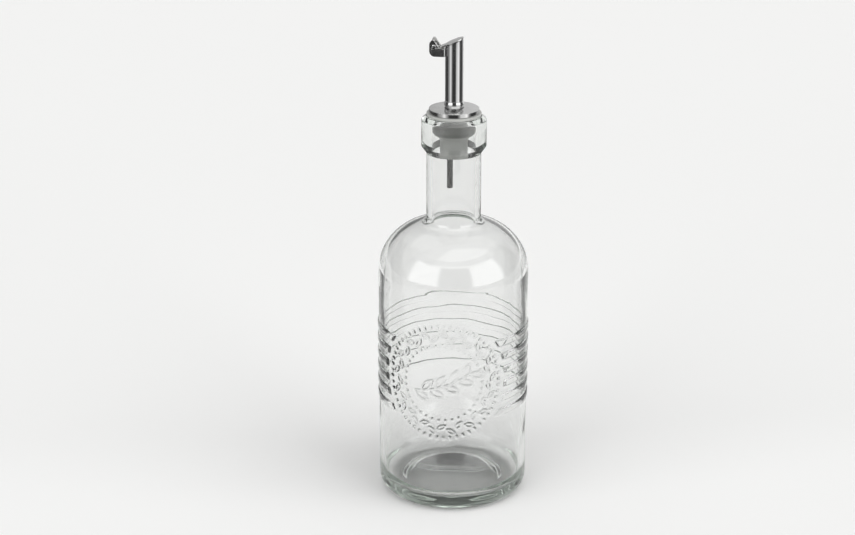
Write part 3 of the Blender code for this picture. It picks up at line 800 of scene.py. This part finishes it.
# The cap. A shallow cup pressed from stainless sheet, with a slightly crowned top, which
# covers the stopper's head. Its side is buffed bright and its top brushed. The spout comes
# up through its middle.
CAP_RADIUS = 12.45 * MM
CAP_SHEET = 0.7 * MM
CAP_EDGE_ROUND = 0.12 * MM
CAP_CROWN = 0.25 * MM
CAP_CROWN_STEPS = 8
CAP_HEM_ROUND = 0.15 * MM
cap_corners = [
    (SPOUT_SEAT_RADIUS, CAP_TOP - CAP_SHEET, CAP_HEM_ROUND),
    (CAP_RADIUS - CAP_SHEET, CAP_TOP - CAP_SHEET, 0.2 * MM),
    (CAP_RADIUS - CAP_SHEET, CAP_BOTTOM, CAP_HEM_ROUND),
    (CAP_RADIUS, CAP_BOTTOM, CAP_HEM_ROUND),
    (CAP_RADIUS, CAP_TOP - CAP_CROWN, CAP_EDGE_ROUND),
]
for step in range(CAP_CROWN_STEPS - 1, 0, -1):
    part = step / CAP_CROWN_STEPS
    crown_r = SPOUT_SEAT_RADIUS + (CAP_RADIUS - SPOUT_SEAT_RADIUS) * part
    cap_corners.append((crown_r, CAP_TOP - CAP_CROWN * part ** 2, 0.0))
cap_corners.append((SPOUT_SEAT_RADIUS, CAP_TOP, CAP_HEM_ROUND))
cap_mesh = turned_ring("cap", cap_corners, 128)


def stainless_steel(name, colours, roughness, grain_scale, grain_depth):
    """Stainless steel: a neutral grey mirror softened by the fine lines that polishing leaves.
    grain_scale sets how close the lines are along X, Y and Z."""
    material, tree, shader = new_material(name)
    shader.inputs["Metallic"].default_value = 1.0
    place = add(tree, "ShaderNodeTexCoord").outputs["Object"]
    stretched = add(tree, "ShaderNodeMapping", {"Vector": place, "Scale": grain_scale}).outputs[0]
    grain = add(tree, "ShaderNodeTexNoise", {"Vector": stretched, "Scale": 1000.0, "Detail": 2.0})
    smear = add(tree, "ShaderNodeTexNoise", {"Vector": place, "Scale": 260.0, "Detail": 3.0})
    tone = blend(tree, smear.outputs[0], linear(colours[0]), linear(colours[1]))
    tree.links.new(tone, shader.inputs["Base Color"])
    haze = add(tree, "ShaderNodeMapRange", {0: grain.outputs[0], 3: roughness[0], 4: roughness[1]})
    tree.links.new(haze.outputs[0], shader.inputs["Roughness"])
    lines = add(tree, "ShaderNodeBump", {
        "Strength": 0.3, "Distance": grain_depth, "Height": grain.outputs[0],
    })
    tree.links.new(lines.outputs[0], shader.inputs["Normal"])
    return material


# The sheet is buffed bright. Its polishing lines are closer than the render can show, so they
# are drawn 1 mm apart and only blur the reflections a little.
EVEN_GRAIN = (1.0, 1.0, 1.0)
SHEET_COLOURS = ("#C9C9C8", "#D6D6D5")
bright_steel = stainless_steel("buffed_stainless_steel", SHEET_COLOURS, (0.03, 0.07),
                               EVEN_GRAIN, 0.004 * MM)
cap_mesh.materials.append(bright_steel)
# The top is brushed after pressing, so it blurs what it reflects
brushed_steel = stainless_steel("brushed_stainless_steel", SHEET_COLOURS, (0.16, 0.24),
                                EVEN_GRAIN, 0.004 * MM)
cap_mesh.materials.append(brushed_steel)
crown_low = CAP_TOP - CAP_CROWN - 0.01 * MM
for face in cap_mesh.polygons:
    face.material_index = int(face.center.z > crown_low and face.normal.z > 0.9)
show("steel_cap", cap_mesh, bright_steel, POURING_BODY, "satin_steel", "cap")

# The spout. Drawn stainless tube, polished, seated in the stopper and cut off at a slant, with
# a round bead rolled in it just above the cap.
SPOUT_RADIUS = 4.45 * MM
SPOUT_WALL = 0.5 * MM
BEAD_RADIUS = 5.0 * MM
BEAD_HEIGHT = 3.2 * MM
MOUTH_HEIGHT = 236.7 * MM
MOUTH_RAISE = 0.2 * MM
MOUTH_SLOPE_DEG = 23.0
mouth_slope = math.radians(MOUTH_SLOPE_DEG)
spout_inside = SPOUT_RADIUS - SPOUT_WALL
spout_top = MOUTH_HEIGHT + MOUTH_RAISE
bead_bottom = CAP_TOP + GAP
spout_mesh = turned_ring("spout", [
    (spout_inside, SPOUT_BOTTOM, 0.1 * MM),
    (SPOUT_RADIUS, SPOUT_BOTTOM, 0.1 * MM),
    (SPOUT_RADIUS, bead_bottom, 0.3 * MM),
    (BEAD_RADIUS, bead_bottom + 0.5 * BEAD_HEIGHT, 0.6 * MM),
    (BEAD_RADIUS, bead_bottom + 0.65 * BEAD_HEIGHT, 0.4 * MM),
    (SPOUT_RADIUS, bead_bottom + BEAD_HEIGHT, 0.8 * MM),
    (SPOUT_RADIUS, spout_top - 1.5 * GAP, 0.0),
    (SPOUT_RADIUS, spout_top, 0.1 * MM),
    (spout_inside, spout_top, 0.1 * MM),
], 96, steps=5)
for vert in spout_mesh.vertices:
    if vert.co.z > spout_top - 2.0 * GAP:
        vert.co.z += vert.co.x * math.tan(mouth_slope)
# Drawing leaves fine lines along the tube
drawn_steel = stainless_steel("drawn_stainless_tube", ("#C6C6C6", "#D4D4D4"), (0.05, 0.10),
                              (1.0, 1.0, 0.04), 0.003 * MM)
show("spout_tube", spout_mesh, drawn_steel, POURING_BODY, "polished_steel", "spout")

# The breather. A thin steel tube beside the pouring channel, which lets air into the bottle.
# It is left as drawn, so it is duller than the spout, and its colour is darker.
BREATHER_RADIUS = 1.5 * MM
BREATHER_WALL = 0.4 * MM
breather_low, breather_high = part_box("breather_tube")
breather_inside = BREATHER_RADIUS - BREATHER_WALL
breather_mesh = turned_ring("breather", [
    (breather_inside, breather_low.z, 0.12 * MM),
    (BREATHER_RADIUS, breather_low.z, 0.12 * MM),
    (BREATHER_RADIUS, breather_high.z, 0.12 * MM),
    (breather_inside, breather_high.z, 0.12 * MM),
], 40, steps=3, axis_x=(breather_low.x + breather_high.x) / 2.0)
dull_steel = stainless_steel("dull_drawn_tube", ("#5E5E5D", "#6C6C6B"), (0.22, 0.32),
                             (1.0, 1.0, 0.05), 0.004 * MM)
show("air_tube", breather_mesh, dull_steel, POURING_BODY, "polished_steel", "breather_tube")

# The hinge bracket. One stainless strip, blanked to shape, bent round the side of the spout
# and folded back at both ends into two ears that hold the rivet. It is polished outside and
# left as rolled inside, and the inside is painted paler than the outside: painted reflection.
PIN_X = -9.66 * MM
PIN_Z = 234.9 * MM
SHEET = 0.62 * MM
SHEET_EDGE = 0.14 * MM
EAR_MIDDLE_Y = 3.35 * MM
WRAP_RADIUS = 5.05 * MM
WRAP_DEG = 30.0
EAR_TIP_X = -11.9 * MM
EAR_BOTTOM = 230.0 * MM
WRAP_TOP = 233.9 * MM
PIN_HOLE_RADIUS = 0.85 * MM
# A hole has 24 points, 15 degrees apart
HOLE_ARC = (0.0, 345.0, 23)


def blank(name, loops, thickness, edge, cuts):
    """A flat sheet cut to outlines in X and Y, with rounded edges. The first loop is the
    outside and the others are holes. cuts lists (axis, start, end, count) of cross cuts that
    let the sheet bend."""
    # A filled curve needs sizes near one, so the outline is drawn in millimetres
    outline = bpy.data.curves.new(name, "CURVE")
    outline.dimensions = "2D"
    outline.fill_mode = "BOTH"
    outline.extrude = (thickness / 2.0 - edge) / MM
    outline.bevel_depth = edge / MM
    outline.bevel_resolution = 2
    outline.offset = -edge / MM
    for loop in loops:
        spline = outline.splines.new("POLY")
        spline.points.add(len(loop) - 1)
        for spline_point, (u, v) in zip(spline.points, loop):
            spline_point.co = (u / MM, v / MM, 0.0, 1.0)
        spline.use_cyclic_u = True
    carrier = new_object(name, outline)
    depsgraph = bpy.context.evaluated_depsgraph_get()
    filled = bpy.data.meshes.new_from_object(carrier.evaluated_get(depsgraph))
    bpy.data.objects.remove(carrier, do_unlink=True)
    bm = bmesh.new()
    bm.from_mesh(filled)
    bmesh.ops.remove_doubles(bm, verts=bm.verts, dist=0.0005)
    bmesh.ops.scale(bm, verts=bm.verts, vec=(MM, MM, MM))
    for axis, start, end, count in cuts:
        normal = tuple(1.0 if index == axis else 0.0 for index in range(3))
        for step in range(count + 1):
            at = start + (end - start) * step / count
            plane = tuple(at if index == axis else 0.0 for index in range(3))
            geometry = bm.verts[:] + bm.edges[:] + bm.faces[:]
            bmesh.ops.bisect_plane(bm, geom=geometry, dist=1e-7, plane_co=plane, plane_no=normal)
    return bm


def sheet_mesh(name, bm):
    """A mesh of a bent sheet, shaded so that its flat faces stay flat up to their edges."""
    mesh = to_mesh(name, bm)
    normals = [mathutils.Vector() for vert in mesh.vertices]
    for face in mesh.polygons:
        for index in face.vertices:
            normals[index] += face.normal * face.area
    mesh.normals_split_custom_set_from_vertices([normal.normalized() for normal in normals])
    return mesh


def follow(path, start, heading, distance):
    """Where a bent line is after a distance, and its heading there. path lists each stretch's
    length and its turn in radians, and the last stretch goes on."""
    x, y = start
    left = distance
    for index, (length, turn) in enumerate(path):
        step = left if index == len(path) - 1 else min(left, length)
        if turn:
            bend = length / turn
            x += bend * (math.sin(heading + step / bend) - math.sin(heading))
            y -= bend * (math.cos(heading + step / bend) - math.cos(heading))
            heading += step / bend
        else:
            x += step * math.cos(heading)
            y += step * math.sin(heading)
        left -= step
    return x, y, heading


wrap_turn = math.radians(WRAP_DEG)
fold_turn = math.pi / 2.0 + wrap_turn
fold_radius = (EAR_MIDDLE_Y - WRAP_RADIUS * math.sin(wrap_turn)) / (1.0 + math.sin(wrap_turn))
wrap_length = WRAP_RADIUS * wrap_turn
fold_length = fold_radius * fold_turn
fold_end = wrap_length + fold_length
bracket_path = ((wrap_length, -wrap_turn), (fold_length, fold_turn), (1.0, 0.0))
ear_start_x = follow(bracket_path, (-WRAP_RADIUS, 0.0), math.pi / 2.0, fold_end)[0]


def ear_s(x):
    """Place along the strip of a point of the ear."""
    return fold_end + ear_start_x - x


ear_corners = [
    (ear_s(EAR_TIP_X), EAR_BOTTOM, 2.8 * MM),
    (ear_s(EAR_TIP_X), 236.6 * MM, 3.4 * MM),
    (ear_s(-10.2 * MM), 239.0 * MM, 0.8 * MM),
    (ear_s(-6.9 * MM), 234.2 * MM, 0.6 * MM),
    (fold_end - 0.2 * MM, WRAP_TOP, 1.0 * MM),
]
half_strip = soft_line([(0.0, EAR_BOTTOM, 0.0)] + ear_corners + [(0.0, WRAP_TOP, 0.0)], 8)[1:-1]
strip = half_strip + [(-s, z) for s, z in reversed(half_strip)]
pin_hole = arc((ear_s(PIN_X), PIN_Z), PIN_HOLE_RADIUS, *HOLE_ARC)
other_hole = [(-s, z) for s, z in pin_hole]
strip_cuts = [(0, -fold_end, fold_end, 40)]
bracket_bm = blank("bracket", [strip, pin_hole, other_hole], SHEET, SHEET_EDGE, strip_cuts)
for vert in bracket_bm.verts:
    s, z, w = vert.co
    x, y, heading = follow(bracket_path, (-WRAP_RADIUS, 0.0), math.pi / 2.0, abs(s))
    x += w * math.sin(heading)
    y -= w * math.cos(heading)
    vert.co = (x, math.copysign(1.0, s) * y, z)
bracket_mesh = sheet_mesh("bracket", bracket_bm)
# Sheet as it is rolled, matt, and painted pale: painted reflection on the ears' inner faces
rolled_steel_painted_bright = stainless_steel("rolled_stainless_sheet_painted_bright", ("#E6E6E4", "#EFEFED"), (0.42, 0.52),
                               EVEN_GRAIN, 0.01 * MM)
bracket_mesh.materials.append(drawn_steel)
bracket_mesh.materials.append(rolled_steel_painted_bright)
# Faces between the ears take the pale sheet, a painted reflection
for face in bracket_mesh.polygons:
    between_ears = abs(face.center.y) < EAR_MIDDLE_Y - 0.2 * MM and face.center.x < ear_start_x
    face.material_index = int(between_ears)
show("hinge_bracket", bracket_mesh, drawn_steel, POURING_BODY, "polished_steel", "bracket")

# The rivet. A short steel pin through both ears, with a domed head at each end.
RIVET_RADIUS = 0.75 * MM
RIVET_HEAD_RADIUS = 1.1 * MM
RIVET_DOME = 0.6 * MM
RIVET_DOME_START_DEG = 15.0
RIVET_DOME_STEPS = 6
RIVET_RIM_SHARE = 0.4
head_start = EAR_MIDDLE_Y + SHEET / 2.0
rivet_half = [(RIVET_RADIUS, head_start), (RIVET_HEAD_RADIUS, head_start)]
for step in range(RIVET_DOME_STEPS):
    from_start = (90.0 - RIVET_DOME_START_DEG) * step / RIVET_DOME_STEPS
    angle = math.radians(RIVET_DOME_START_DEG + from_start)
    dome = RIVET_DOME * (RIVET_RIM_SHARE + (1.0 - RIVET_RIM_SHARE) * math.sin(angle))
    rivet_half.append((RIVET_HEAD_RADIUS * math.cos(angle), head_start + dome))
rivet_half.append((0.0, head_start + RIVET_DOME))
rivet_bm = bmesh.new()
rivet_outline = [(r, -z) for r, z in reversed(rivet_half)] + rivet_half
add_rings(rivet_bm, rivet_outline, [math.radians(15.0 * side) for side in range(24)])
for vert in rivet_bm.verts:
    x, y, z = vert.co
    vert.co = (PIN_X + x, -z, PIN_Z + y)
rivet_mesh = to_mesh("rivet", rivet_bm)
rivet_mesh.set_sharp_from_angle(angle=math.radians(50.0))
show("rivet", rivet_mesh, drawn_steel, POURING_BODY, "satin_steel", "hinge_pin")

# The flap. A stainless blank with a round lid that lies on the spout's slanted mouth and a
# tongue whose two sides are folded up into eyes. The eyes turn on the rivet.
FLAP_SHEET = 0.5 * MM
FLAP_EDGE = 0.12 * MM
LID_RADIUS = 4.85 * MM
LID_CROWN = 0.12 * MM
TONGUE_HALF_WIDTH = 2.2 * MM
EYE_RADIUS = 1.9 * MM
EYE_MIDDLE_Y = 2.3 * MM
EYE_FOLD_RADIUS = 0.5 * MM
EYE_HOLE_RADIUS = 0.95 * MM
NOTCH = 0.3 * MM
pin_rise = PIN_Z - MOUTH_HEIGHT
pin_along = PIN_X * math.cos(mouth_slope) + pin_rise * math.sin(mouth_slope)
pin_above = -PIN_X * math.sin(mouth_slope) + pin_rise * math.cos(mouth_slope)
flap_middle = GAP + FLAP_SHEET / 2.0
fold_from = EYE_MIDDLE_Y - EYE_FOLD_RADIUS
eye_fold_length = EYE_FOLD_RADIUS * math.pi / 2.0
eye_v = fold_from + eye_fold_length + pin_above - flap_middle - EYE_FOLD_RADIUS
notch_u = pin_along + EYE_RADIUS + NOTCH
lid_start = math.degrees(math.asin(TONGUE_HALF_WIDTH / LID_RADIUS))
half_flap = []
for u, v in arc((0.0, 0.0), LID_RADIUS, 0.0, 180.0 - lid_start, 22):
    half_flap.append((u / math.cos(mouth_slope), v))
half_flap += [
    (notch_u, TONGUE_HALF_WIDTH),
    (notch_u, fold_from - 0.1 * MM),
    (pin_along + EYE_RADIUS, fold_from - 0.1 * MM),
]
half_flap += arc((pin_along, eye_v), EYE_RADIUS, 0.0, 180.0, 14)
half_flap += [(pin_along - EYE_RADIUS, 0.0)]
flap_outline = half_flap + [(u, -v) for u, v in reversed(half_flap[1:-1])]
eye_hole = arc((pin_along, eye_v), EYE_HOLE_RADIUS, *HOLE_ARC)
other_eye_hole = [(u, -v) for u, v in eye_hole]
flap_bm = blank("flap", [flap_outline, eye_hole, other_eye_hole], FLAP_SHEET, FLAP_EDGE, [
    (1, fold_from, fold_from + eye_fold_length, 6),
    (1, -fold_from - eye_fold_length, -fold_from, 6),
    (0, -0.8 * LID_RADIUS, 0.8 * LID_RADIUS, 8),
])
eye_path = ((fold_from, 0.0), (eye_fold_length, math.pi / 2.0), (1.0, 0.0))
for vert in flap_bm.verts:
    u, v, w = vert.co
    if u < notch_u - NOTCH / 2.0:
        across, up, heading = follow(eye_path, (0.0, 0.0), 0.0, abs(v))
        across -= w * math.sin(heading)
        up += w * math.cos(heading)
    else:
        from_centre = min(math.hypot(u * math.cos(mouth_slope), v) / LID_RADIUS, 1.0)
        across, up = abs(v), w + LID_CROWN * (1.0 - from_centre ** 2)
    height = flap_middle + up
    vert.co = (
        u * math.cos(mouth_slope) - height * math.sin(mouth_slope),
        math.copysign(across, v),
        MOUTH_HEIGHT + u * math.sin(mouth_slope) + height * math.cos(mouth_slope),
    )
flap_mesh = sheet_mesh("flap", flap_bm)
show("pouring_flap", flap_mesh, bright_steel, "flap", "satin_steel", "flap")
